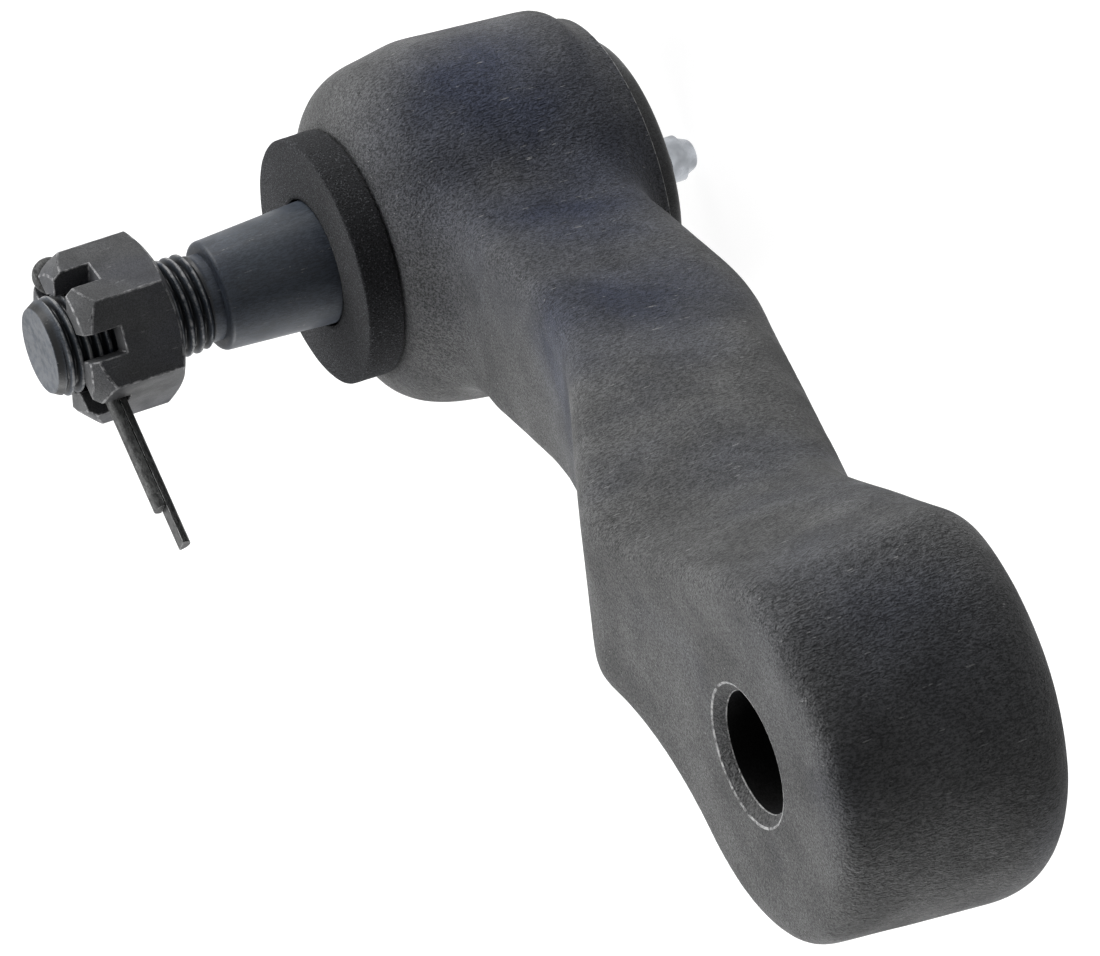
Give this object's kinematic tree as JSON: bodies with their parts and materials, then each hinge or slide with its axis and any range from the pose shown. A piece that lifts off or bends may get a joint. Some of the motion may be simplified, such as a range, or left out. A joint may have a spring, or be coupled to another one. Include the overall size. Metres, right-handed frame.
{
  "type": "idler arm",
  "caption": "Cranked forged steering idler arm with a plain bracket bore and a preloaded ball stud, castle nut and cotter pin.",
  "frame": {"origin": "on the axis of the bracket bore, level with the bore end's lower face", "axes": "+Z along the bracket bore and the ball stud, towards the stud's threaded end; +X from the bore to the ball stud"},
  "size_m": [0.2049, 0.0548, 0.1002],
  "materials": {
    "forged_steel": "satin",
    "bearing_metal": "satin",
    "stud_steel": "satin",
    "nut_steel": "satin",
    "pin_steel": "satin",
    "spring_steel": "satin",
    "cover_steel": "satin",
    "zinc_plate": "gloss",
    "seal_foam": "matte"
  },
  "bodies": {
    "arm": {"arm_forging": "forged_steel", "ball_seat": "bearing_metal", "pressure_cap": "bearing_metal", "preload_spring": "spring_steel", "cover_plate": "cover_steel", "grease_fitting_body": "zinc_plate", "grease_fitting_ball": "spring_steel", "grease_fitting_spring": "spring_steel"},
    "seal": {"dust_seal": "seal_foam"},
    "bearing": {"half_ball_bearing": "bearing_metal"},
    "stud": {"ball_stud": "stud_steel", "castle_nut": "nut_steel", "cotter_pin": "pin_steel"}
  },
  "joints": [
    {"name": "tilt_plane_turn", "type": "hinge", "parent": "arm", "child": "seal", "pos_m": [0.1514, 0, 0], "axis": [0, 0, 1], "continuous": true},
    {"name": "stud_tilt", "type": "hinge", "parent": "seal", "child": "bearing", "pos_m": [0.1514, 0, 0], "axis": [0, 1, 0], "range_deg": [-10, 10], "deforming": ["dust_seal"]},
    {"name": "stud_spin", "type": "hinge", "parent": "bearing", "child": "stud", "pos_m": [0.1514, 0, 0], "axis": [0, 0, 1], "continuous": true}
  ]
}
